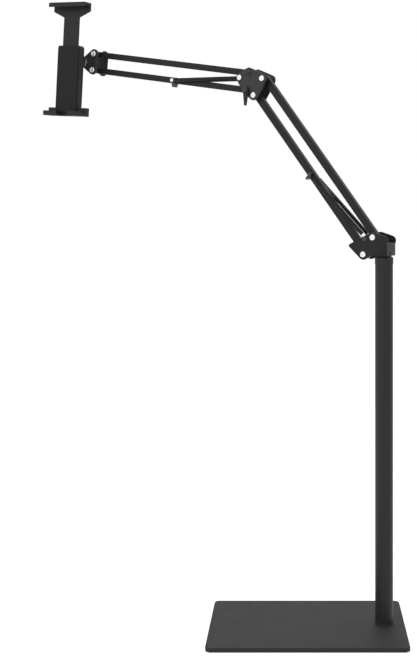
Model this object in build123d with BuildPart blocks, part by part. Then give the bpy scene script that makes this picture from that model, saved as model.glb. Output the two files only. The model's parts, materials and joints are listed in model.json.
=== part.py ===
"""Adjustable tablet floor stand: a weighted plate, a pole, a two-stage spring arm and a sprung holder."""

from build123d import *
import os
from math import acos, atan2, cos, hypot, pi, radians, sin, sqrt

os.makedirs("parts", exist_ok=True)

# Floor plate
plate_width = 324.0
plate_depth = 220.0
plate_thick = 6.5
plate_corner = 9.0
plate_chamfer = 0.9
mat_thick = 1.5
mat_inset = 3.0
mat_hole_margin = 3.0
pole_edge_distance = 34.0

# Pole
pole_radius = 15.0
pole_wall = 1.5
pole_length = 595.0
fit = 0.05
plug_flange = 3.0
plug_overhang = 0.8
plug_depth = 28.0
pole_bolt_radius = 4.0
pole_bolt_head_radius = 8.0
pole_bolt_head = 3.0
pole_bolt_grip = 22.0
collar_height = 12.5
collar_depth = 30.0
collar_chamfer = 2.0
collar_overhang = 0.5
spigot_radius = 7.0
bush_wall = 2.5
bush_flange = 1.5
bush_flange_width = 3.0
spigot_length = 36.0
spigot_screw_radius = 3.0
spigot_screw_grip = 14.0
washer_radius = 10.5
washer_thick = 1.5
spigot_screw_head = 3.0
running_gap = 0.2

# Arm plane and widths across it
arm_yaw = 28.0
bar_width = 11.0
bar_wall = 1.5
bar_chamfer = 0.8
bar_lug = 14.0
clip_thick = 1.1
clip_reach = 5.0
clip_tip_radius = 1.6
spring_wire = 1.2
spring_mean_radius = 2.9
spring_play = 0.4
cheek_thick = 3.0
open_pivot_play = 0.25

# Lower arm
lower_length = 347.5
lower_slope = 52.45
lower_bar_depth = 12.5
lower_pivot_out = 13.4
lower_pivot_rise = 30.5
lower_pivot_run = 17.2
lower_pivot_drop = 28.35

# Elbow and upper arm
elbow_run = 27.0
elbow_rise = 11.6
upper_length = 345.0
upper_slope = 9.15
upper_bar_depth = 11.0
upper_pivot_run = 3.2
upper_pivot_drop = 30.0
elbow_stud_run = 45.5
elbow_stud_rise = 3.9
elbow_margin = 9.0
elbow_stud_margin = 7.0
plate_edge = 0.6

# Pivot fasteners
bolt_radius = 3.0
bolt_head_radius = 5.2
bolt_head = 2.8
bolt_edge = 0.8
nut_radius = 5.4
nut_height = 4.0
nut_play = 0.05
spacer_radius = 5.0

# Spring studs, clip pins and springs
stud_radius = 2.0
stud_flange_radius = 3.3
stud_flange = 0.8
stud_head_radius = 4.2
stud_head = 1.6
stud_bar_gap = 0.4
lower_clip_distance = 170.0
lower_stud_run = 14.2
lower_stud_drop = 2.5
upper_clip_distance = 165.0
spring_turns = 10
spring_leg = 16.0
spring_lead_angle = 80.0
spring_hook_angle = 230.0
spring_sides = 6
spring_samples = 60

# Swivel bracket
bracket_neck_radius = 14.0
bracket_neck = 6.0
bracket_margin = 9.0
bracket_hump_back = 6.0
bracket_hump_rise = 25.0
bracket_hump_radius = 8.5
bracket_beak_run = 41.0
bracket_beak_drop = 14.0
bracket_beak_radius = 3.0
bracket_web_front = 21.0
bracket_web_back = 13.0
bracket_web_height = 22.0

# Elbow clamp lever
lever_hub_radius = 5.6
lever_hub = 5.0
lever_length = 26.0
lever_tip_radius = 2.3
lever_thick = 3.0
lever_lean = 272.0

# Arm head and ball joint
head_run = 21.0
head_drop = 15.0
head_margin = 9.0
head_ball_margin = 10.0
stud_neck_radius = 3.5
ball_radius = 8.0
ball_reach = 20.5
ball_flange_radius = 7.5
ball_flange = 3.0
ball_nut_radius = 6.5
ball_nut = 5.0
seat_wall = 2.5
seat_mouth_angle = 52.0
seat_back_angle = 132.0
socket_wall = 3.6
socket_mouth_angle = 60.0
socket_floor = 3.0
journal_radius = 6.5
journal_length = 5.0
socket_grip_count = 12
socket_grip_radius = 1.6
roll_screw_radius = 2.0
roll_screw_head_radius = 8.5
roll_screw_head = 1.8
roll_screw_grip = 3.5

# Holder
holder_roll = 3.5
jaw_gap = 197.0
holder_width = 52.0
holder_top = 26.0
holder_corner = 6.0
pocket_floor = 4.0
foot_bar = 10.0
slide_thick = 4.4
slide_width = 34.0
slide_play = 0.2
slide_tail = 22.0
cover_thick = 2.2
cover_corner = 4.0
pad_thick = 1.4
pad_inset = 2.0
tablet_slot = 9.0
foot_width = 31.0
foot_spread = 88.0
foot_thick = 5.6
lip_height = 1.8
lip_thick = 2.6
jaw_edge = 1.0
top_jaw_width = 84.0
top_jaw_thick = 5.0
top_jaw_taper = 20.0
top_jaw_shoulder = 9.0
jaw_spring_radius = 3.2
jaw_spring_bore = 2.2
holder_screw_radius = 1.5
holder_screw_head_radius = 2.8
holder_screw_head = 1.2
holder_screw_grip = 5.0
holder_screw_inset = 6.0
overrun = 2.0

# Levels and places that follow from the sizes above
pole_x = plate_width / 2 - pole_edge_distance
plate_top = mat_thick + plate_thick
pole_foot = plate_top + plug_flange
pole_top = pole_foot + pole_length
collar_top = pole_top + collar_height
bracket_floor = collar_top + bush_flange + running_gap
bush_radius = spigot_radius + fit + bush_wall
clip_outside = bar_width / 2 + fit + clip_thick
spring_side = clip_outside + spring_play + spring_mean_radius + spring_wire / 2
cheek_in = spring_side + spring_mean_radius + spring_wire / 2 + spring_play
cheek_out = cheek_in + cheek_thick

yaw = radians(arm_yaw)
arm = Plane(
    origin=(pole_x, 0, 0),
    x_dir=(-cos(yaw), sin(yaw), 0),
    z_dir=(sin(yaw), cos(yaw), 0),
)


def moved(point, run, rise):
    return (point[0] + run, point[1] + rise)


def along(point, slope, distance):
    return moved(point, distance * cos(radians(slope)), distance * sin(radians(slope)))


pivot_a = (lower_pivot_out, bracket_floor + lower_pivot_rise)
pivot_b = moved(pivot_a, lower_pivot_run, -lower_pivot_drop)
pivot_c = along(pivot_a, lower_slope, lower_length)
pivot_d = along(pivot_b, lower_slope, lower_length)
pivot_f = moved(pivot_c, elbow_run, elbow_rise)
pivot_g = moved(pivot_f, upper_pivot_run, -upper_pivot_drop)
pivot_h = along(pivot_f, upper_slope, upper_length)
pivot_j = along(pivot_g, upper_slope, upper_length)
lower_stud = moved(pivot_a, lower_stud_run, -lower_stud_drop)
elbow_stud = moved(pivot_c, elbow_stud_run, elbow_stud_rise)
lower_clip = along(pivot_b, lower_slope, lower_clip_distance)
upper_clip = along(pivot_g, upper_slope, upper_clip_distance)
ball_axis = moved(pivot_h, head_run, -head_drop)


def write(piece, name):
    """Label a finished piece and write its file."""
    piece.part.label = name
    export_step(piece.part, f"parts/{name}.step")


def turned(point, angle, depth=0):
    """The arm's plane with its origin at a point and its first axis raised by an angle."""
    lift = radians(angle)
    first = arm.x_dir * cos(lift) + arm.y_dir * sin(lift)
    return Plane(origin=arm.from_local_coords(Vector(*point, depth)), x_dir=first, z_dir=arm.z_dir)


def discs(points, radius, start, stop):
    """Round pegs square to the arm's plane, from one depth to another."""
    with BuildSketch(arm.offset(start)) as profile:
        with Locations(*points):
            Circle(radius)
    extrude(profile.sketch, amount=stop - start)


def bores(points, radius):
    with BuildSketch(arm.offset(-cheek_out - overrun)) as profile:
        with Locations(*points):
            Circle(radius)
    extrude(profile.sketch, amount=2 * (cheek_out + overrun), mode=Mode.SUBTRACT)


def outline_round(circles):
    """The outline drawn tight round circles, which are listed anticlockwise as (centre, radius)."""
    pairs = list(zip(circles, circles[1:] + circles[:1]))
    headings = []
    for ((x0, y0), r0), ((x1, y1), r1) in pairs:
        headings.append(atan2(y1 - y0, x1 - x0) - acos((r0 - r1) / hypot(x1 - x0, y1 - y0)))
    with BuildLine() as rim_line:
        for i, ((centre, radius), (next_centre, next_radius)) in enumerate(pairs):
            arrive, leave = headings[i - 1], headings[i]
            while leave < arrive:
                leave += 2 * pi
            rim = [
                (centre[0] + radius * cos(turn), centre[1] + radius * sin(turn))
                for turn in (arrive, (arrive + leave) / 2, leave)
            ]
            ThreePointArc(*rim)
            end = (next_centre[0] + next_radius * cos(leave), next_centre[1] + next_radius * sin(leave))
            Line(rim[2], end)
    make_face(rim_line.edges())


def rounded_plate(circles, start, stop):
    """A flat plate of the arm's plane with such an outline."""
    with BuildSketch(arm.offset(start)) as profile:
        outline_round(circles)
    extrude(profile.sketch, amount=stop - start)


# Base: the mat and the weighted plate
with BuildPart() as base_mat:
    with BuildSketch():
        RectangleRounded(plate_width - 2 * mat_inset, plate_depth - 2 * mat_inset, plate_corner - mat_inset)
        with Locations((pole_x, 0)):
            Circle(pole_bolt_head_radius + mat_hole_margin, mode=Mode.SUBTRACT)
    extrude(amount=mat_thick)
write(base_mat, "base_mat")

with BuildPart() as base_plate:
    with BuildSketch(Plane.XY.offset(mat_thick)):
        RectangleRounded(plate_width, plate_depth, plate_corner)
    extrude(amount=plate_thick)
    chamfer(base_plate.edges().group_by(Axis.Z)[-1], plate_chamfer)
    with Locations(Plane(origin=(pole_x, 0, mat_thick), z_dir=(0, 0, -1))):
        CounterBoreHole(pole_bolt_radius + fit, pole_bolt_head_radius + fit, pole_bolt_head + fit)
write(base_plate, "base_plate")

with BuildPart() as pole_bolt:
    with Locations((pole_x, 0, mat_thick + fit)):
        Cylinder(pole_bolt_head_radius, pole_bolt_head, align=(Align.CENTER, Align.CENTER, Align.MIN))
        Cylinder(
            pole_bolt_radius,
            plate_thick + plug_flange + pole_bolt_grip,
            align=(Align.CENTER, Align.CENTER, Align.MIN),
        )
    chamfer(pole_bolt.edges().group_by(Axis.Z)[0], plate_chamfer)
write(pole_bolt, "pole_bolt")

# Pole: foot plug, tube, collar and bush
tube_inner = pole_radius - pole_wall
with BuildPart() as pole_foot_plug:
    with Locations((pole_x, 0, plate_top)):
        Cylinder(pole_radius + plug_overhang, plug_flange, align=(Align.CENTER, Align.CENTER, Align.MIN))
    chamfer(pole_foot_plug.edges().group_by(Axis.Z)[-1], plug_overhang / 2)
    with Locations((pole_x, 0, pole_foot)):
        Cylinder(tube_inner - fit, plug_depth, align=(Align.CENTER, Align.CENTER, Align.MIN))
    with Locations(Plane(origin=(pole_x, 0, plate_top), z_dir=(0, 0, -1))):
        Hole(pole_bolt_radius + fit, depth=plug_flange + plug_depth + overrun)
write(pole_foot_plug, "pole_foot_plug")

with BuildPart() as pole_tube:
    with BuildSketch(Plane.XY.offset(pole_foot)):
        with Locations((pole_x, 0)):
            Circle(pole_radius)
            Circle(tube_inner, mode=Mode.SUBTRACT)
    extrude(amount=pole_length)
write(pole_tube, "pole_tube")

collar_radius = pole_radius + collar_overhang
bush_base = collar_top - collar_depth
with BuildPart() as pole_collar:
    with BuildSketch(Plane.XY.offset(pole_top)):
        with Locations((pole_x, 0)):
            Circle(collar_radius)
    extrude(amount=collar_height)
    chamfer(pole_collar.edges().group_by(Axis.Z)[-1], collar_chamfer)
    with BuildSketch(Plane.XY.offset(bush_base)):
        with Locations((pole_x, 0)):
            Circle(tube_inner - fit)
    extrude(amount=pole_top - bush_base)
    with BuildSketch(Plane.XY.offset(bush_base)):
        with Locations((pole_x, 0)):
            Circle(bush_radius + fit)
    extrude(amount=collar_depth, mode=Mode.SUBTRACT)
write(pole_collar, "pole_collar")

with BuildPart() as swivel_bush:
    with BuildSketch(Plane.XY.offset(bush_base)):
        with Locations((pole_x, 0)):
            Circle(bush_radius)
    extrude(amount=collar_depth)
    with BuildSketch(Plane.XY.offset(collar_top)):
        with Locations((pole_x, 0)):
            Circle(bush_radius + bush_flange_width)
    extrude(amount=bush_flange)
    with BuildSketch(Plane.XY.offset(bush_base)):
        with Locations((pole_x, 0)):
            Circle(spigot_radius + fit)
    extrude(amount=collar_depth + bush_flange, mode=Mode.SUBTRACT)
write(swivel_bush, "swivel_bush")

# Swivel bracket: a forked casting on a spigot
hump = (-bracket_hump_back, bracket_floor + bracket_hump_rise)
beak = moved(pivot_a, bracket_beak_run, -bracket_beak_drop)
bracket_circles = [
    (pivot_b, bracket_margin),
    (beak, bracket_beak_radius),
    (pivot_a, bracket_margin),
    (hump, bracket_hump_radius),
]
spigot_foot = bracket_floor - spigot_length
with BuildPart() as swivel_bracket:
    rounded_plate(bracket_circles, cheek_in, cheek_out)
    rounded_plate(bracket_circles, -cheek_out, -cheek_in)
    chamfer(swivel_bracket.edges().group_by(Axis((0, 0, 0), tuple(arm.z_dir)))[0], plate_edge)
    with BuildSketch(arm.offset(-cheek_out)):
        with Locations((0, bracket_floor)):
            Polygon(
                (-bracket_web_back, 0),
                (bracket_web_front, 0),
                (bracket_web_front, bracket_web_height / 2),
                (lower_pivot_out / 2, bracket_web_height),
                (-bracket_web_back, bracket_web_height),
                align=None,
            )
    extrude(amount=2 * cheek_out)
    with BuildSketch(Plane.XY.offset(bracket_floor)):
        with Locations((pole_x, 0)):
            Circle(bracket_neck_radius)
    extrude(amount=bracket_neck)
    with BuildSketch(Plane.XY.offset(spigot_foot)):
        with Locations((pole_x, 0)):
            Circle(spigot_radius)
    extrude(amount=spigot_length)
    with BuildSketch(Plane.XY.offset(spigot_foot)):
        with Locations((pole_x, 0)):
            Circle(spigot_screw_radius + fit)
    extrude(amount=spigot_screw_grip, mode=Mode.SUBTRACT)
    bores([pivot_a, pivot_b], bolt_radius + fit)
    bores([lower_stud], stud_radius + fit)
    with BuildSketch(arm.offset(-cheek_in)):
        with Locations(pivot_b):
            Circle(lower_bar_depth / 2 + overrun)
    extrude(amount=2 * cheek_in, mode=Mode.SUBTRACT)
write(swivel_bracket, "swivel_bracket")

with BuildPart() as swivel_washer:
    with BuildSketch(Plane.XY.offset(spigot_foot - washer_thick)):
        with Locations((pole_x, 0)):
            Circle(washer_radius)
            Circle(spigot_screw_radius + fit, mode=Mode.SUBTRACT)
    extrude(amount=washer_thick)
write(swivel_washer, "swivel_washer")

with BuildPart() as swivel_screw:
    with BuildSketch(Plane.XY.offset(spigot_foot - washer_thick - spigot_screw_head)):
        with Locations((pole_x, 0)):
            RegularPolygon(2 * spigot_screw_radius, 6)
    extrude(amount=spigot_screw_head)
    with BuildSketch(Plane.XY.offset(spigot_foot - washer_thick)):
        with Locations((pole_x, 0)):
            Circle(spigot_screw_radius)
    extrude(amount=washer_thick + spigot_screw_grip)
write(swivel_screw, "swivel_screw")


# Pivot bolts, nuts and spacers
def pivot_bolts(points, name):
    """Button-headed bolts right through both cheeks and the nut beyond them."""
    with BuildPart() as piece:
        discs(points, bolt_head_radius, -cheek_out - bolt_head, -cheek_out)
        chamfer(piece.edges().group_by(Axis((0, 0, 0), tuple(arm.z_dir)))[0], bolt_edge)
        discs(points, bolt_radius, -cheek_out, cheek_out + nut_height)
    write(piece, name)


def pivot_nuts(points, name):
    with BuildPart() as piece:
        with BuildSketch(arm.offset(cheek_out)):
            with Locations(*points):
                RegularPolygon(nut_radius, 6)
                Circle(bolt_radius + nut_play, mode=Mode.SUBTRACT)
        extrude(amount=nut_height)
    write(piece, name)


def pivot_spacers(points, name):
    """Tubes that keep a bar in the middle of the cheeks and leave the springs their room."""
    inner_end = bar_width / 2 + running_gap
    with BuildPart() as piece:
        for start in (-cheek_in, inner_end):
            with BuildSketch(arm.offset(start)):
                with Locations(*points):
                    Circle(spacer_radius)
                    Circle(bolt_radius + fit, mode=Mode.SUBTRACT)
            extrude(amount=cheek_in - inner_end)
    write(piece, name)


def spring_studs(point, name):
    """A short flanged peg on each cheek, for the hooks of the two springs."""
    tip = bar_width / 2 + stud_bar_gap
    with BuildPart() as piece:
        for side in (-1, 1):
            discs([point], stud_radius, side * tip, side * cheek_out)
            discs([point], stud_flange_radius, side * tip, side * (tip + stud_flange))
            discs([point], stud_head_radius, side * cheek_out, side * (cheek_out + stud_head))
    write(piece, name)


pivot_bolts([pivot_a, pivot_b], "bracket_bolts")
pivot_nuts([pivot_a, pivot_b], "bracket_nuts")
pivot_spacers([pivot_a, pivot_b], "bracket_spacers")
spring_studs(lower_stud, "bracket_spring_studs")


# Arm bars: channels with solid lugs, rounded ends and a bored eye at each pivot
def arm_bar(start, slope, length, depth, name, far_play, pin_distance=None):
    frame = turned(start, slope)
    inner_width = bar_width - 2 * bar_wall
    with BuildPart() as piece:
        with BuildSketch(frame.offset(-bar_width / 2)):
            with Locations((length / 2, 0)):
                SlotCenterToCenter(length, depth)
        extrude(amount=bar_width)
        across = piece.edges().group_by(Axis((0, 0, 0), tuple(arm.z_dir)))
        chamfer(across[0] + across[-1], bar_chamfer)
        with BuildSketch(frame.offset(-inner_width / 2)):
            with Locations((length / 2, -bar_wall)):
                Rectangle(length - 2 * bar_lug, depth)
        extrude(amount=inner_width, mode=Mode.SUBTRACT)
        holes = [(0, bolt_radius + fit), (length, bolt_radius + far_play)]
        if pin_distance is not None:
            holes.append((pin_distance, stud_radius + fit))
        for distance, radius in holes:
            with BuildSketch(frame.offset(-bar_width / 2 - overrun)):
                with Locations((distance, 0)):
                    Circle(radius)
            extrude(amount=bar_width + 2 * overrun, mode=Mode.SUBTRACT)
    write(piece, name)


arm_bar(pivot_a, lower_slope, lower_length, lower_bar_depth, "lower_arm_top_bar", fit)
arm_bar(
    pivot_b, lower_slope, lower_length, lower_bar_depth, "lower_arm_bottom_bar", open_pivot_play, lower_clip_distance
)
arm_bar(pivot_f, upper_slope, upper_length, upper_bar_depth, "upper_arm_top_bar", fit)
arm_bar(
    pivot_g, upper_slope, upper_length, upper_bar_depth, "upper_arm_bottom_bar", open_pivot_play, upper_clip_distance
)


# Spring clips: a saddle under the bottom bar, drawn to a point, and the pin through it
def spring_clip(point, slope, depth, name):
    frame = turned(point, slope)
    underside = depth / 2 + fit
    with BuildPart() as piece:
        with BuildSketch(frame.offset(-clip_outside)):
            outline_round(
                [((0, 0), stud_flange_radius + clip_thick), ((0, -underside - clip_reach), clip_tip_radius)]
            )
        extrude(amount=2 * clip_outside)
        with BuildSketch(frame.offset(-bar_width / 2 - fit)):
            Rectangle(depth + clip_reach, 2 * underside)
        extrude(amount=bar_width + 2 * fit, mode=Mode.SUBTRACT)
        with BuildSketch(frame.offset(-clip_outside - overrun)):
            Circle(stud_radius + fit)
        extrude(amount=2 * (clip_outside + overrun), mode=Mode.SUBTRACT)
    write(piece, name)


def clip_pin(point, name):
    end = spring_side + spring_wire / 2 + spring_play + stud_flange
    with BuildPart() as piece:
        discs([point], stud_radius, -end, end)
        for side in (-1, 1):
            discs([point], stud_flange_radius, side * (end - stud_flange), side * end)
    write(piece, name)


spring_clip(lower_clip, lower_slope, lower_bar_depth, "lower_spring_clip")
spring_clip(upper_clip, upper_slope, upper_bar_depth, "upper_spring_clip")
clip_pin(lower_clip, "lower_clip_pin")
clip_pin(upper_clip, "upper_clip_pin")


# Springs: a hook, a straight leg, the coil, a leg and a hook, all in one round path
def biarc(start, start_way, end, end_way):
    """The meeting point of two arcs, and their shared direction there."""
    span = end - start
    ways = start_way + end_way
    a = 2 * (1 - start_way.dot(end_way))
    b = 2 * span.dot(ways)
    reach = (-b + sqrt(b * b + 4 * a * span.dot(span))) / (2 * a)
    first = start + start_way * reach
    last = end - end_way * reach
    return (first + last) * 0.5, (last - first).normalized()


def spring(pin, stud, side, name):
    run = (stud[0] - pin[0], stud[1] - pin[1])
    distance = hypot(*run)
    first = (arm.x_dir * run[0] + arm.y_dir * run[1]).normalized()
    origin = arm.from_local_coords(Vector(*pin, side * spring_side))
    second = arm.z_dir.cross(first)
    radius = spring_mean_radius
    coil_start = spring_leg
    coil_length = distance - 2 * spring_leg
    pitch = coil_length / spring_turns
    slope = pitch / (2 * pi * radius)
    lead = radians(spring_lead_angle)

    def world(x, y, z):
        return origin + first * x + second * y + arm.z_dir * z

    def way(x, y, z):
        return (first * x + second * y + arm.z_dir * z).normalized()

    def coil(angle):
        x = coil_start + pitch * angle / (2 * pi)
        place = world(x, radius * cos(angle), radius * sin(angle))
        return place, way(slope, -sin(angle), cos(angle))

    def hook(angle, distance_out, sign):
        return world(distance_out - sign * radius * sin(angle), radius * cos(angle), 0)

    wrap = radians(spring_hook_angle)
    whole = 2 * pi * spring_turns
    half_turns = 2 * spring_turns - 1
    angles = [lead + i * (whole - 2 * lead) / half_turns for i in range(half_turns + 1)]
    stations = [(world(coil_start, radius, 0), way(1, 0, 0))]
    stations += [coil(angle) for angle in angles]
    stations += [(world(coil_start + coil_length, radius, 0), way(1, 0, 0))]
    with BuildPart() as piece:
        with BuildLine() as path:
            ThreePointArc(hook(wrap, 0, 1), hook(wrap / 2, 0, 1), hook(0, 0, 1))
            Line(hook(0, 0, 1), stations[0][0])
            for (start, start_way), (end, end_way) in zip(stations, stations[1:]):
                middle, middle_way = biarc(start, start_way, end, end_way)
                TangentArc(start, middle, tangent=start_way)
                TangentArc(middle, end, tangent=middle_way)
            Line(stations[-1][0], hook(0, distance, -1))
            ThreePointArc(hook(0, distance, -1), hook(wrap / 2, distance, -1), hook(wrap, distance, -1))
        with BuildSketch(Plane(origin=path.line @ 0, z_dir=path.line % 0)):
            RegularPolygon(spring_wire / 2, spring_sides)
        sweep(path=path.line, clean=False)
    write(piece, name)
    report_spring(path.wires()[0], piece.part.volume, name)


def report_spring(line, volume, name):
    """Print the least gap between two stretches of the wire, and its volume against section times length."""
    samples = spring_turns * spring_samples
    points = [line.position_at(i / samples) for i in range(samples + 1)]
    skip = int(samples * 2 * pi * spring_mean_radius / line.length / 2)
    gap = min(
        (points[i] - points[j]).length
        for i in range(samples)
        for j in range(i + skip, min(i + 6 * skip, samples + 1))
    )
    section = spring_sides / 2 * (spring_wire / 2) ** 2 * sin(2 * pi / spring_sides)
    print(f"{name}: least gap {gap - spring_wire:.2f} mm, volume share {volume / section / line.length:.3f}")


for side_name, side in (("front", -1), ("back", 1)):
    spring(lower_clip, lower_stud, side, f"lower_spring_{side_name}")
    spring(upper_clip, elbow_stud, side, f"upper_spring_{side_name}")

# Elbow: two cheeks, four pivot bolts, spring studs and the clamp lever
elbow_circles = [
    (pivot_c, elbow_margin),
    (pivot_d, elbow_margin),
    (pivot_g, elbow_margin),
    (elbow_stud, elbow_stud_margin),
    (pivot_f, elbow_margin),
]
elbow_pivots = [pivot_c, pivot_d, pivot_f, pivot_g]


def cheek(circles, holes, studs, front, name):
    start, stop = (-cheek_out, -cheek_in) if front else (cheek_in, cheek_out)
    with BuildPart() as piece:
        rounded_plate(circles, start, stop)
        outer_rim = piece.edges().group_by(Axis((0, 0, 0), tuple(arm.z_dir)))[0 if front else -1]
        chamfer(outer_rim, plate_edge)
        bores(holes, bolt_radius + fit)
        if studs:
            bores(studs, stud_radius + fit)
    write(piece, name)


cheek(elbow_circles, elbow_pivots, [elbow_stud], True, "elbow_front_plate")
cheek(elbow_circles, elbow_pivots, [elbow_stud], False, "elbow_back_plate")
pivot_bolts([pivot_c, pivot_d, pivot_f], "elbow_bolts")
pivot_nuts(elbow_pivots, "elbow_nuts")
pivot_spacers(elbow_pivots, "elbow_spacers")
spring_studs(elbow_stud, "elbow_spring_studs")

lever = turned(pivot_g, lever_lean)
lever_face = -cheek_out - running_gap
clamp_head = lever_face - lever_hub - running_gap
with BuildPart() as elbow_clamp_bolt:
    discs([pivot_g], bolt_head_radius, clamp_head - bolt_head, clamp_head)
    chamfer(elbow_clamp_bolt.edges().group_by(Axis((0, 0, 0), tuple(arm.z_dir)))[0], bolt_edge)
    discs([pivot_g], bolt_radius, clamp_head, cheek_out + nut_height)
write(elbow_clamp_bolt, "elbow_clamp_bolt")

with BuildPart() as elbow_clamp_lever:
    with BuildSketch(lever.offset(lever_face - lever_hub)):
        Circle(lever_hub_radius)
    extrude(amount=lever_hub)
    with BuildSketch(lever.offset(lever_face - lever_hub)):
        outline_round([((0, 0), lever_hub_radius), ((lever_length, 0), lever_tip_radius)])
    extrude(amount=lever_thick)
    chamfer(elbow_clamp_lever.edges().group_by(Axis((0, 0, 0), tuple(arm.z_dir)))[0], plate_edge)
    with BuildSketch(lever.offset(clamp_head)):
        Circle(bolt_radius + fit)
    extrude(amount=lever_hub + 2 * running_gap, mode=Mode.SUBTRACT)
write(elbow_clamp_lever, "elbow_clamp_lever")

# Arm head: two cheeks with the ball stud on the front one
head_circles = [(pivot_h, head_margin), (pivot_j, head_margin), (ball_axis, head_ball_margin)]
cheek(head_circles, [pivot_h, pivot_j, ball_axis], [], True, "head_front_plate")
cheek(head_circles[:-1] + [(ball_axis, head_margin)], [pivot_h, pivot_j], [], False, "head_back_plate")
pivot_bolts([pivot_h, pivot_j], "head_bolts")
pivot_nuts([pivot_h, pivot_j], "head_nuts")
pivot_spacers([pivot_h, pivot_j], "head_spacers")

# Ball joint, all turned about the ball's own axis, which points at the tablet
ball_depth = -cheek_out - ball_reach
ball_frame = turned(ball_axis, holder_roll, ball_depth)
turning = Plane(origin=ball_frame.origin, x_dir=ball_frame.x_dir, z_dir=ball_frame.y_dir)
turning_axis = Axis(ball_frame.origin, ball_frame.z_dir)


def on_sphere(radius, angle):
    """A point of the half section, by its angle from the side of the arm."""
    return (radius * sin(radians(angle)), -radius * cos(radians(angle)))


with BuildPart() as ball_stud:
    with BuildSketch(arm.offset(ball_depth)):
        with Locations(ball_axis):
            Circle(stud_neck_radius)
    extrude(amount=ball_reach)
    discs([ball_axis], ball_flange_radius, -cheek_out - ball_flange, -cheek_out)
    discs([ball_axis], bolt_radius, -cheek_out, -cheek_in + ball_nut)
    with Locations(ball_frame):
        Sphere(ball_radius)
write(ball_stud, "ball_stud")

with BuildPart() as ball_stud_nut:
    with BuildSketch(arm.offset(-cheek_in)):
        with Locations(ball_axis):
            RegularPolygon(ball_nut_radius, 6)
            Circle(bolt_radius + nut_play, mode=Mode.SUBTRACT)
    extrude(amount=ball_nut)
write(ball_stud_nut, "ball_stud_nut")

seat_inner = ball_radius + fit
seat_outer = seat_inner + seat_wall
mid_angle = (seat_mouth_angle + seat_back_angle) / 2
with BuildPart() as ball_seat:
    with BuildSketch(turning):
        with BuildLine():
            seat_in = ThreePointArc(
                on_sphere(seat_inner, seat_mouth_angle),
                on_sphere(seat_inner, mid_angle),
                on_sphere(seat_inner, seat_back_angle),
            )
            seat_out = ThreePointArc(
                on_sphere(seat_outer, seat_back_angle),
                on_sphere(seat_outer, mid_angle),
                on_sphere(seat_outer, seat_mouth_angle),
            )
            Line(seat_in @ 1, seat_out @ 0)
            Line(seat_out @ 1, seat_in @ 0)
        make_face()
    revolve(axis=turning_axis)
write(ball_seat, "ball_seat")

socket_inner = seat_outer + fit
socket_radius = socket_inner + socket_wall
socket_mouth = socket_inner * cos(radians(socket_mouth_angle))
socket_front = socket_inner + socket_floor
journal_end = socket_front + journal_length
with BuildPart() as ball_socket:
    with BuildSketch(ball_frame.offset(-socket_front)):
        Circle(socket_radius)
    extrude(amount=socket_front + socket_mouth)
    with BuildSketch(ball_frame.offset(-socket_front - overrun)):
        with PolarLocations(socket_radius + socket_grip_radius / 2, socket_grip_count):
            Circle(socket_grip_radius)
    extrude(amount=socket_front + socket_mouth + 2 * overrun, mode=Mode.SUBTRACT)
    with BuildSketch(ball_frame.offset(-journal_end)):
        Circle(journal_radius)
    extrude(amount=journal_length)
    with Locations(ball_frame):
        Sphere(socket_inner, mode=Mode.SUBTRACT)
    with BuildSketch(ball_frame.offset(-journal_end)):
        Circle(roll_screw_radius + fit)
    extrude(amount=roll_screw_grip, mode=Mode.SUBTRACT)
write(ball_socket, "ball_socket")

# Levels of the holder, measured along the ball's axis from its centre
holder = ball_frame
shell_back = -socket_front - running_gap
shell_inside = -journal_end + running_gap
slide_back = -journal_end - roll_screw_head - slide_play
slide_front = slide_back - slide_thick
cover_back = slide_front - slide_play
cover_front = cover_back - cover_thick
pad_front = cover_front - pad_thick
slot_front = pad_front - tablet_slot
lip_front = slot_front - lip_thick
jaw_half = jaw_gap / 2
foot_top = -jaw_half - pad_thick
foot_bottom = foot_top - foot_thick
pocket_bottom = -jaw_half + pocket_floor
foot_middle = (foot_spread - foot_width) / 2
screw_middle = (holder_width + slide_width) / 4 + slide_play / 2
screw_levels = (holder_top - holder_screw_inset, pocket_bottom + holder_screw_inset)
screw_places = [(side * screw_middle, level) for side in (-1, 1) for level in screw_levels]


def slab(left, right, bottom, top, front, back, mode=Mode.ADD):
    """A block of the holder, by its edges and by its two faces along the ball's axis."""
    with BuildSketch(holder.offset(front)) as profile:
        with Locations(((left + right) / 2, (bottom + top) / 2)):
            Rectangle(right - left, top - bottom)
    extrude(profile.sketch, amount=back - front, mode=mode)


def pegs(points, radius, front, back, mode=Mode.ADD):
    with BuildSketch(holder.offset(front)) as profile:
        with Locations(*points):
            Circle(radius)
    extrude(profile.sketch, amount=back - front, mode=mode)


with BuildPart() as roll_screw:
    pegs([(0, 0)], roll_screw_head_radius, -journal_end - roll_screw_head, -journal_end)
    pegs([(0, 0)], roll_screw_radius, -journal_end, -journal_end + roll_screw_grip)
write(roll_screw, "roll_screw")

with BuildPart() as holder_shell:
    with BuildSketch(holder.offset(cover_back)):
        with Locations((0, (holder_top + foot_bottom) / 2)):
            RectangleRounded(holder_width, holder_top - foot_bottom, holder_corner)
    extrude(amount=shell_back - cover_back)
    slab(-foot_spread / 2, foot_spread / 2, foot_bottom, foot_top + foot_bar, cover_back, shell_back)
    across = holder_shell.edges().group_by(Axis((0, 0, 0), tuple(arm.z_dir)))[-1]
    chamfer(across, jaw_edge)
    for side in (-1, 1):
        left = side * foot_middle - foot_width / 2
        slab(left, left + foot_width, foot_bottom, foot_top, lip_front, cover_back)
        slab(left, left + foot_width, foot_top, -jaw_half + lip_height, lip_front, slot_front)
    slot_half = slide_width / 2 + slide_play
    slab(-slot_half, slot_half, pocket_bottom, holder_top, cover_back, shell_inside, Mode.SUBTRACT)
    pegs([(0, 0)], journal_radius + fit, cover_back, shell_back, Mode.SUBTRACT)
    pegs(screw_places, holder_screw_radius + fit, cover_back, cover_back + holder_screw_grip, Mode.SUBTRACT)
write(holder_shell, "holder_shell")

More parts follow.
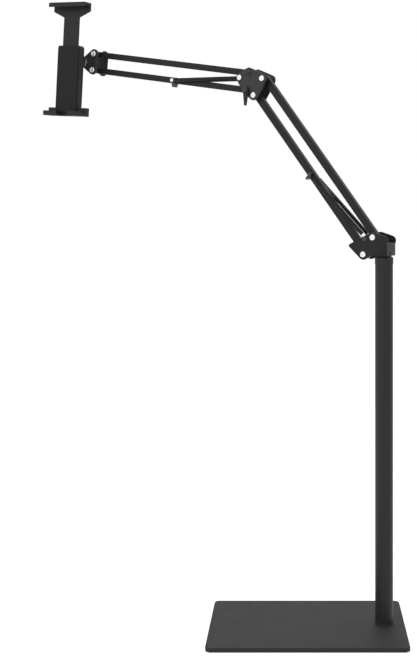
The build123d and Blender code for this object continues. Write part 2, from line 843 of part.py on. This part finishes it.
cover_bottom = -jaw_half
with BuildPart() as holder_cover:
    with BuildSketch(holder.offset(cover_front)):
        with Locations((0, (holder_top + cover_bottom) / 2)):
            RectangleRounded(holder_width, holder_top - cover_bottom, cover_corner)
    extrude(amount=cover_thick)
    pegs(screw_places, holder_screw_radius + fit, cover_front, cover_back, Mode.SUBTRACT)
    pegs(screw_places, holder_screw_head_radius + fit, cover_front, cover_front + holder_screw_head, Mode.SUBTRACT)
write(holder_cover, "holder_cover")

with BuildPart() as cover_screws:
    pegs(screw_places, holder_screw_head_radius, cover_front, cover_front + holder_screw_head)
    pegs(screw_places, holder_screw_radius, cover_front, cover_back + holder_screw_grip)
write(cover_screws, "cover_screws")

with BuildPart() as holder_pad:
    with BuildSketch(holder.offset(pad_front)):
        with Locations((0, (holder_top + cover_bottom) / 2)):
            RectangleRounded(
                holder_width - 2 * pad_inset, holder_top - cover_bottom - 2 * pad_inset, cover_corner
            )
    extrude(amount=pad_thick)
write(holder_pad, "holder_pad")

with BuildPart() as foot_pads:
    for side in (-1, 1):
        left = side * foot_middle - foot_width / 2 + pad_inset
        right = side * foot_middle + foot_width / 2 - pad_inset
        slab(left, right, foot_top, -jaw_half, slot_front, pad_front)
write(foot_pads, "foot_pads")

with BuildPart() as jaw_spring:
    spring_level = shell_inside - slide_play - jaw_spring_radius
    spring_foot = Plane(
        origin=holder.from_local_coords(Vector(0, pocket_bottom, spring_level)),
        x_dir=holder.x_dir,
        z_dir=holder.y_dir,
    )
    with BuildSketch(spring_foot):
        Circle(jaw_spring_radius)
        Circle(jaw_spring_bore, mode=Mode.SUBTRACT)
    extrude(amount=-slide_tail - slide_play - pocket_bottom)
write(jaw_spring, "jaw_spring")

# Top jaw: the slide, a plate that flares, and the hook over the tablet's edge
jaw_under = jaw_half + pad_thick
jaw_top = jaw_under + top_jaw_thick
with BuildPart() as top_jaw:
    with BuildSketch(holder.offset(slide_front)):
        Polygon(
            (-slide_width / 2, -slide_tail),
            (slide_width / 2, -slide_tail),
            (slide_width / 2, jaw_half - top_jaw_taper),
            (top_jaw_width / 2, jaw_half - top_jaw_shoulder),
            (top_jaw_width / 2, jaw_top),
            (-top_jaw_width / 2, jaw_top),
            (-top_jaw_width / 2, jaw_half - top_jaw_shoulder),
            (-slide_width / 2, jaw_half - top_jaw_taper),
            align=None,
        )
    extrude(amount=slide_thick)
    slab(-top_jaw_width / 2, top_jaw_width / 2, jaw_under, jaw_top, lip_front, slide_front)
    slab(-top_jaw_width / 2, top_jaw_width / 2, jaw_half - lip_height, jaw_under, lip_front, slot_front)
    upright = Axis((0, 0, 0), tuple(holder.y_dir))
    chamfer(top_jaw.faces().sort_by(upright)[-1].edges(), jaw_edge)
write(top_jaw, "top_jaw")

with BuildPart() as top_jaw_pad:
    pad_half = top_jaw_width / 2 - pad_inset
    slab(-pad_half, pad_half, jaw_half, jaw_under, slot_front, pad_front)
write(top_jaw_pad, "top_jaw_pad")
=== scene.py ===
"""Looks of the tablet floor stand: finishes, wound springs, machined bolt heads and a plain studio."""

import json
from math import cos, pi, radians, sin

import bmesh
import bpy
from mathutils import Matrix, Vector


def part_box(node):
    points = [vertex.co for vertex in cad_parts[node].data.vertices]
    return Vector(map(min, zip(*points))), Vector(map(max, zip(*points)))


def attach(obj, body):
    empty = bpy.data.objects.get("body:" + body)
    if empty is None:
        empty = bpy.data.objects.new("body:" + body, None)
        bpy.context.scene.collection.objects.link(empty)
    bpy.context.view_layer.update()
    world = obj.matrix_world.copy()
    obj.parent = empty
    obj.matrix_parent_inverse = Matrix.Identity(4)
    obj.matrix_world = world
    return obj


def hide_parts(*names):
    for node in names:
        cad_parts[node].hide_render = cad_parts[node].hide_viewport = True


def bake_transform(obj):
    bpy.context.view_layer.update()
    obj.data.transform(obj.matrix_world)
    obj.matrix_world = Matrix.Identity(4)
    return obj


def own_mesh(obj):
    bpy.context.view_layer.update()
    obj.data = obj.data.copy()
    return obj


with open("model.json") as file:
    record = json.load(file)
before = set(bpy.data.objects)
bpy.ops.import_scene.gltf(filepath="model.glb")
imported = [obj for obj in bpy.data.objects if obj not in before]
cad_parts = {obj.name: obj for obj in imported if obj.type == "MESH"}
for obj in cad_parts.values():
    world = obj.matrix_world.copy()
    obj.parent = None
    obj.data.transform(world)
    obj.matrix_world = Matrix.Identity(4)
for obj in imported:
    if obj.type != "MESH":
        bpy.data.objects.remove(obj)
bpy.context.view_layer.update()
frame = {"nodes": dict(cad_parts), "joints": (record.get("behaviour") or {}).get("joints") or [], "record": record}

MM = 0.001
joints = {joint["name"]: joint for joint in frame["joints"]}

# The arm's plane: outward from the pole, up, and away from the viewer
away = Vector(joints["lower_arm_lift"]["axis"]).normalized()
up = Vector((0, 0, 1))
outward = up.cross(away)

# Sizes shared by the new pieces
cheek_face = 17.45 * MM
washer_width = 1.4 * MM
washer_height = 0.5 * MM
ring_height = 1.1 * MM
spring_side = 10.55 * MM
spring_radius = 2.9 * MM
spring_wire = 1.2 * MM
spring_leg = 11.0 * MM
spring_coils = 98
spring_steps = 14
spring_sides = 6
jaw_wire = 0.9 * MM
jaw_coils = 22
hook_wrap = radians(230)
hook_steps = 14
bolt_radius = 3.0 * MM
bolt_head_radius = 5.2 * MM
bolt_head = 2.8 * MM
cap_radius = 4.7 * MM
lathe_steps = 48


def centre(node):
    low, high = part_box(node)
    return (low + high) / 2


def joint_point(name):
    return Vector(joints[name]["pos_m"])


def depth_range(node):
    """The least and greatest depth of a node along the arm's cross axis."""
    depths = [vertex.co.dot(away) for vertex in frame["nodes"][node].data.vertices]
    return min(depths), max(depths)


# Materials
def node_material(name):
    material = bpy.data.materials.new(name)
    material.use_nodes = True
    nodes = material.node_tree.nodes
    return material, nodes, material.node_tree.links, nodes["Principled BSDF"]


def surface(
    name,
    colour,
    roughness,
    metallic=0.0,
    grain=900.0,
    grain_depth=0.00004,
    mottle=0.15,
    rough_spread=0.08,
    edge=0.25,
    specular=0.2,
):
    """A finish with fine grain, slow mottling, uneven gloss and slightly paler sharp edges."""
    material, nodes, links, shader = node_material(name)
    shader.inputs["Metallic"].default_value = metallic
    shader.inputs["Specular IOR Level"].default_value = specular
    coordinates = nodes.new("ShaderNodeTexCoord")

    fine = nodes.new("ShaderNodeTexNoise")
    fine.inputs["Scale"].default_value = grain
    fine.inputs["Detail"].default_value = 3.0
    links.new(coordinates.outputs["Object"], fine.inputs["Vector"])
    bump = nodes.new("ShaderNodeBump")
    bump.inputs["Distance"].default_value = grain_depth
    bump.inputs["Strength"].default_value = 0.6
    links.new(fine.outputs["Fac"], bump.inputs["Height"])
    links.new(bump.outputs["Normal"], shader.inputs["Normal"])

    slow = nodes.new("ShaderNodeTexNoise")
    slow.inputs["Scale"].default_value = 22.0
    slow.inputs["Detail"].default_value = 5.0
    links.new(coordinates.outputs["Object"], slow.inputs["Vector"])
    shade = nodes.new("ShaderNodeMix")
    shade.data_type = "RGBA"
    shade.inputs["A"].default_value = [c * (1 - mottle) for c in colour] + [1]
    shade.inputs["B"].default_value = [c * (1 + mottle) for c in colour] + [1]
    links.new(slow.outputs["Fac"], shade.inputs["Factor"])

    # The colour turns paler on sharp convex edges, by the mesh's pointiness
    geometry = nodes.new("ShaderNodeNewGeometry")
    edge_pale = nodes.new("ShaderNodeMapRange")
    edge_pale.inputs["From Min"].default_value = 0.52
    edge_pale.inputs["From Max"].default_value = 0.62
    edge_pale.inputs["To Max"].default_value = edge
    links.new(geometry.outputs["Pointiness"], edge_pale.inputs["Value"])
    rim = nodes.new("ShaderNodeMix")
    rim.data_type = "RGBA"
    rim.inputs["B"].default_value = [min(1.0, c * 2.2 + 0.03) for c in colour] + [1]
    links.new(edge_pale.outputs["Result"], rim.inputs["Factor"])
    links.new(shade.outputs["Result"], rim.inputs["A"])
    links.new(rim.outputs["Result"], shader.inputs["Base Color"])

    gloss = nodes.new("ShaderNodeMapRange")
    gloss.inputs["To Min"].default_value = max(0.02, roughness - rough_spread)
    gloss.inputs["To Max"].default_value = min(1.0, roughness + rough_spread)
    links.new(slow.outputs["Fac"], gloss.inputs["Value"])
    links.new(gloss.outputs["Result"], shader.inputs["Roughness"])
    return material


finishes = {
    "plate_paint": surface(
        "textured_powder_coat", (0.026, 0.026, 0.027), 0.62, grain=1400, grain_depth=0.00009
    ),
    "pole_paint": surface(
        "satin_powder_coat", (0.017, 0.017, 0.018), 0.46, grain=1700, grain_depth=0.00003
    ),
    "arm_paint": surface("satin_arm_paint", (0.010, 0.010, 0.0104), 0.42, grain=1500, grain_depth=0.00003),
    "cheek_paint": surface("cast_grey_paint", (0.040, 0.038, 0.039), 0.55, grain=1100, grain_depth=0.00007),
    "bright_steel": surface("zinc_plate", (0.78, 0.77, 0.74), 0.28, 1.0, 600, 0.00002, 0.06, 0.07, 0.1),
    "dark_steel": surface("black_oxide", (0.045, 0.045, 0.047), 0.38, 0.7, 800, 0.00002, 0.2),
    "spring_steel": surface("blackened_wire", (0.022, 0.022, 0.023), 0.34, 0.55, 900, 0.00001, 0.2),
    "nylon": surface("moulded_nylon", (0.026, 0.026, 0.027), 0.50, grain=1600, grain_depth=0.00003),
    "holder_plastic": surface(
        "grained_plastic", (0.016, 0.016, 0.017), 0.48, grain=1300, grain_depth=0.00006
    ),
    "soft_rubber": surface("matt_rubber", (0.014, 0.014, 0.0145), 0.80, grain=900, grain_depth=0.00008),
}
slots = {entry["node"]: entry["material_slot"] for entry in frame["record"]["subparts"]}
for name, node in frame["nodes"].items():
    node.data.materials.clear()
    node.data.materials.append(finishes[slots[name]])
frame["nodes"]["swivel_bracket"].data.materials[0] = finishes["arm_paint"]


# New pieces
def add_piece(name, vertices, faces, slot, body, smooth=True):
    mesh = bpy.data.meshes.new(name)
    mesh.from_pydata([tuple(vertex) for vertex in vertices], [], faces)
    piece = bpy.data.objects.new(name, mesh)
    bpy.context.scene.collection.objects.link(piece)
    shell = bmesh.new()
    shell.from_mesh(mesh)
    bmesh.ops.recalc_face_normals(shell, faces=shell.faces)
    shell.to_mesh(mesh)
    shell.free()
    for polygon in mesh.polygons:
        polygon.use_smooth = smooth
    mesh.materials.append(finishes[slot])
    if body is not None:
        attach(piece, body)
    return piece


def tube(points, radius, sides):
    """A round tube along points, with flat ends."""
    vertices, faces = [], []
    previous = (points[1] - points[0]).normalized()
    normal = previous.orthogonal().normalized()
    for i, point in enumerate(points):
        ahead = points[min(i + 1, len(points) - 1)] - points[max(i - 1, 0)]
        ahead.normalize()
        normal = previous.rotation_difference(ahead) @ normal
        normal = (normal - ahead * normal.dot(ahead)).normalized()
        binormal = ahead.cross(normal)
        previous = ahead
        for side in range(sides):
            turn = 2 * pi * side / sides
            vertices.append(point + normal * (radius * cos(turn)) + binormal * (radius * sin(turn)))
    for i in range(len(points) - 1):
        for side in range(sides):
            a, b = i * sides + side, i * sides + (side + 1) % sides
            faces.append((a, b, b + sides, a + sides))
    last = (len(points) - 1) * sides
    faces.append(tuple(range(sides))[::-1])
    faces.append(tuple(range(last, last + sides)))
    return vertices, faces


def lathe(origin, profile, hexed=()):
    """A closed turning about the cross axis. The profile is (radius, depth); hexed rows have six sides."""
    vertices, faces = [], []
    for row, (radius, depth) in enumerate(profile):
        for step in range(lathe_steps):
            turn = 2 * pi * step / lathe_steps
            reach = radius
            if row in hexed:
                sector = (turn % (pi / 3)) - pi / 6
                reach = radius * cos(pi / 6) / cos(sector)
            across_point = outward * (reach * cos(turn)) + up * (reach * sin(turn))
            vertices.append(origin + across_point + away * depth)
    for row in range(len(profile) - 1):
        for step in range(lathe_steps):
            a, b = row * lathe_steps + step, row * lathe_steps + (step + 1) % lathe_steps
            faces.append((a, b, b + lathe_steps, a + lathe_steps))
    last = (len(profile) - 1) * lathe_steps
    faces.append(tuple(range(lathe_steps))[::-1])
    faces.append(tuple(range(last, last + lathe_steps)))
    return vertices, faces


def merged(parts):
    vertices, faces = [], []
    for part_vertices, part_faces in parts:
        shift = len(vertices)
        vertices += part_vertices
        faces += [tuple(index + shift for index in face) for face in part_faces]
    return vertices, faces


# Wound springs
def wound_spring(pin, stud, side):
    """The line of one spring: hook, leg, closely wound coil, leg and hook."""
    start = pin + away * (side * spring_side)
    span = stud - pin
    span -= away * span.dot(away)
    first = span.normalized()
    second = away.cross(first)

    def at(x, y, z):
        return start + first * x + second * y + away * z

    length = span.length
    points = []
    for i in range(hook_steps + 1):
        turn = hook_wrap * (1 - i / hook_steps)
        points.append(at(-spring_radius * sin(turn), spring_radius * cos(turn), 0))
    coil_length = length - 2 * spring_leg
    total = spring_coils * spring_steps
    for i in range(total + 1):
        turn = 2 * pi * i / spring_steps
        x = spring_leg + coil_length * i / total
        points.append(at(x, spring_radius * cos(turn), spring_radius * sin(turn)))
    for i in range(hook_steps + 1):
        turn = hook_wrap * i / hook_steps
        points.append(at(length + spring_radius * sin(turn), spring_radius * cos(turn), 0))
    bend_start = at(spring_leg / 2, 0, 0)
    bend_end = at(length - spring_leg / 2, 0, 0)
    return points, bend_start, bend_end


spring_sets = (
    ("lower_spring", "lower_clip_pin", "bracket_spring_studs", "lower_arm_bottom", "arm_bracket"),
    ("upper_spring", "upper_clip_pin", "elbow_spring_studs", "upper_arm_bottom", "elbow"),
)
for spring_name, pin_node, stud_node, bar_body, stud_body in spring_sets:
    for side_name, side in (("front", -1), ("back", 1)):
        points, bend_start, bend_end = wound_spring(centre(pin_node), centre(stud_node), side)
        vertices, faces = tube(points, spring_wire / 2, spring_sides)
        node = f"{spring_name}_{side_name}"
        piece = add_piece(f"{node}_wound", vertices, faces, "spring_steel", None)
        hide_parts(node)
        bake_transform(piece)

# The compression spring under the jaw's slide, which on the real stand shortens as the jaw goes in; here it is
# wound at one length on the holder
slide_axis = Vector(joints["jaw_slide"]["axis"]).normalized()
jaw_middle = centre("jaw_spring")
heights = [vertex.co.dot(slide_axis) for vertex in frame["nodes"]["jaw_spring"].data.vertices]
jaw_foot = jaw_middle + slide_axis * (min(heights) + jaw_wire / 2 - jaw_middle.dot(slide_axis))
jaw_length = max(heights) - min(heights) - jaw_wire
across = slide_axis.orthogonal().normalized()
behind = slide_axis.cross(across)
winding = []
for i in range(jaw_coils * spring_steps + 1):
    turn = 2 * pi * i / spring_steps
    rise = slide_axis * (jaw_length * i / (jaw_coils * spring_steps))
    sideways = across * (spring_radius * cos(turn)) + behind * (spring_radius * sin(turn))
    winding.append(jaw_foot + rise + sideways)
vertices, faces = tube(winding, jaw_wire / 2, spring_sides)
piece = add_piece("jaw_spring_wound", vertices, faces, "spring_steel", None)
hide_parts("jaw_spring")
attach(piece, "holder")
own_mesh(piece)


# Button-headed bolts with a hexagon socket and a rounded rim
def bolt(point, near, far):
    """near and far are the bolt's ends along the cross axis, its head at the near one."""
    base = point - away * point.dot(away)
    under = near + bolt_head
    profile = [
        (bolt_head_radius * 0.40, near + 1.5 * MM),
        (bolt_head_radius * 0.42, near + 0.05 * MM),
        (bolt_head_radius * 0.50, near),
        (bolt_head_radius * 0.68, near + 0.22 * MM),
        (bolt_head_radius * 0.86, near + 0.75 * MM),
        (bolt_head_radius * 0.97, near + 1.6 * MM),
        (bolt_head_radius, under - 0.3 * MM),
        (bolt_head_radius * 0.99, under),
        (bolt_radius, under),
        (bolt_radius, far - 0.4 * MM),
        (bolt_radius - 0.4 * MM, far),
    ]
    return lathe(base, profile, hexed=(0, 1))


bolt_sets = (
    ("bracket_bolts", "arm_bracket", ("lower_arm_lift", "lower_arm_follow")),
    ("elbow_bolts", "elbow", ("elbow_level", "elbow_open")),
    ("head_bolts", "arm_head", ("head_level", "head_open")),
)
bar_span = joint_point("elbow_level") - joint_point("lower_arm_lift")
reach_span = joint_point("head_level") - joint_point("upper_arm_lift")
open_pivots = {
    "elbow_open": joint_point("lower_arm_follow") + bar_span,
    "head_open": joint_point("upper_arm_follow") + reach_span,
}


def pivot(name):
    return open_pivots[name] if name in open_pivots else joint_point(name)


for node, body, pivots in bolt_sets:
    near, far = depth_range(node)
    vertices, faces = merged([bolt(pivot(name), near, far) for name in pivots])
    piece = add_piece(f"{node}_machined", vertices, faces, "bright_steel", body)
    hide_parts(node)
    ring = [
        (bolt_head_radius + 0.15 * MM, near + bolt_head),
        (bolt_head_radius + 0.15 * MM, near + bolt_head - washer_height),
        (bolt_head_radius + 1.1 * MM, near + bolt_head - washer_height),
        (bolt_head_radius + washer_width, near + bolt_head - 0.15 * MM),
        (bolt_head_radius + washer_width, near + bolt_head),
    ]
    rings = merged([lathe(pivot(name) - away * pivot(name).dot(away), ring) for name in pivots])
    add_piece(f"{node}_washers", rings[0], rings[1], "dark_steel", body)

# The upper arm's front pivot has a blackened bolt, which the photograph hardly shows
near, far = depth_range("elbow_bolts")
vertices, faces = bolt(pivot("upper_arm_lift"), near, far)
add_piece("elbow_upper_bolt_machined", vertices, faces, "dark_steel", "elbow")

# The domed cap of the elbow's front spring stud, in its dark ring
stud = centre("elbow_spring_studs")
stud -= away * stud.dot(away)
near, far = depth_range("elbow_spring_studs")
cheek_depth = joint_point("lower_arm_lift").dot(away) - cheek_face
cap_profile = [
    (cap_radius * 0.45, near - 0.55 * MM),
    (cap_radius * 0.75, near - 0.35 * MM),
    (cap_radius * 0.94, near + 0.1 * MM),
    (cap_radius, near + 0.5 * MM),
    (cap_radius, cheek_depth),
]
vertices, faces = lathe(stud, cap_profile)
add_piece("elbow_stud_cap", vertices, faces, "bright_steel", "elbow")
ring_profile = [
    (cap_radius + 0.1 * MM, cheek_depth),
    (cap_radius + 0.1 * MM, cheek_depth - ring_height),
    (cap_radius + 1.2 * MM, cheek_depth - ring_height),
    (cap_radius + 1.6 * MM, cheek_depth - 0.6 * MM),
    (cap_radius + 1.6 * MM, cheek_depth),
]
vertices, faces = lathe(stud, ring_profile)
add_piece("elbow_stud_ring", vertices, faces, "dark_steel", "elbow")


# Studio
floor_shade = 0.82
floor_glow = 0.74
floor_half = 30.0
floor_drop = 0.0002
ambient = 0.38
camera_place = (-0.0121, -1.9035, 0.6963)


def emission_floor():
    material, nodes, links, shader = node_material("pale_floor")
    shader.inputs["Base Color"].default_value = (floor_shade, floor_shade, floor_shade, 1)
    shader.inputs["Roughness"].default_value = 0.9
    path = nodes.new("ShaderNodeLightPath")
    seen = nodes.new("ShaderNodeMath")
    seen.operation = "MAXIMUM"
    links.new(path.outputs["Is Camera Ray"], seen.inputs[0])
    links.new(path.outputs["Is Glossy Ray"], seen.inputs[1])
    glow = nodes.new("ShaderNodeEmission")
    glow.inputs["Color"].default_value = (1, 1, 1, 1)
    level = nodes.new("ShaderNodeMath")
    level.operation = "MULTIPLY"
    level.inputs[1].default_value = floor_glow
    links.new(seen.outputs["Value"], level.inputs[0])
    links.new(level.outputs["Value"], glow.inputs["Strength"])
    total = nodes.new("ShaderNodeAddShader")
    links.new(shader.outputs["BSDF"], total.inputs[0])
    links.new(glow.outputs["Emission"], total.inputs[1])
    links.new(total.outputs["Shader"], nodes["Material Output"].inputs["Surface"])
    return material


floor_mesh = bpy.data.meshes.new("floor")
floor_mesh.from_pydata(
    [(x * floor_half, y * floor_half, 0) for x, y in ((-1, -1), (1, -1), (1, 1), (-1, 1))],
    [],
    [(0, 1, 2, 3)],
)
floor = bpy.data.objects.new("floor", floor_mesh)
floor.location.z = -floor_drop
bpy.context.scene.collection.objects.link(floor)
floor_mesh.materials.append(emission_floor())

world = bpy.data.worlds.new("white_studio")
bpy.context.scene.world = world
world.use_nodes = True
sky_nodes, sky_links = world.node_tree.nodes, world.node_tree.links
sky = sky_nodes["Background"]
sky.inputs["Color"].default_value = (1, 1, 1, 1)
ray = sky_nodes.new("ShaderNodeLightPath")
bright = sky_nodes.new("ShaderNodeMapRange")
bright.inputs["To Min"].default_value = ambient
bright.inputs["To Max"].default_value = 1.0
seen = ray.outputs["Is Camera Ray"]
for kind in ("Is Glossy Ray", "Is Transmission Ray"):
    either = sky_nodes.new("ShaderNodeMath")
    either.operation = "MAXIMUM"
    sky_links.new(seen, either.inputs[0])
    sky_links.new(ray.outputs[kind], either.inputs[1])
    seen = either.outputs["Value"]
sky_links.new(seen, bright.inputs["Value"])
sky_links.new(bright.outputs["Result"], sky.inputs["Strength"])


def area_light(name, place, target, power, width, height):
    light = bpy.data.lights.new(name, "AREA")
    light.shape = "RECTANGLE"
    light.size = width
    light.size_y = height
    light.energy = power
    lamp = bpy.data.objects.new(name, light)
    lamp.location = place
    lamp.rotation_euler = (Vector(target) - Vector(place)).to_track_quat("-Z", "Y").to_euler()
    bpy.context.scene.collection.objects.link(lamp)



middle = (0.0, 0.1, 0.6)
area_light("key_light", (-1.8, -2.0, 2.3), middle, 26, 1.6, 1.6)
area_light("fill_light", (2.4, -1.2, 1.2), middle, 3, 1.2, 2.0)
area_light("top_light", (0.2, 0.6, 3.0), middle, 18, 2.0, 2.0)

# Camera: level, looking along +Y, its frame shifted off the optical axis
frame_width, frame_height = 417, 657
focal_pixels = 1142.0
optical_u, optical_v = 300.0, 210.0
sensor = 36.0
camera_data = bpy.data.cameras.new("camera")
camera_data.sensor_fit = "VERTICAL"
camera_data.sensor_height = sensor
camera_data.lens = focal_pixels / frame_height * sensor
camera_data.shift_x = -(optical_u - frame_width / 2) / frame_height
camera_data.shift_y = -(frame_height / 2 - optical_v) / frame_height
camera_data.clip_end = 100
camera = bpy.data.objects.new("camera", camera_data)
camera.location = camera_place
camera.rotation_euler = (pi / 2, 0, 0)
bpy.context.scene.collection.objects.link(camera)
bpy.context.scene.camera = camera

bpy.context.scene.view_settings.view_transform = "Standard"
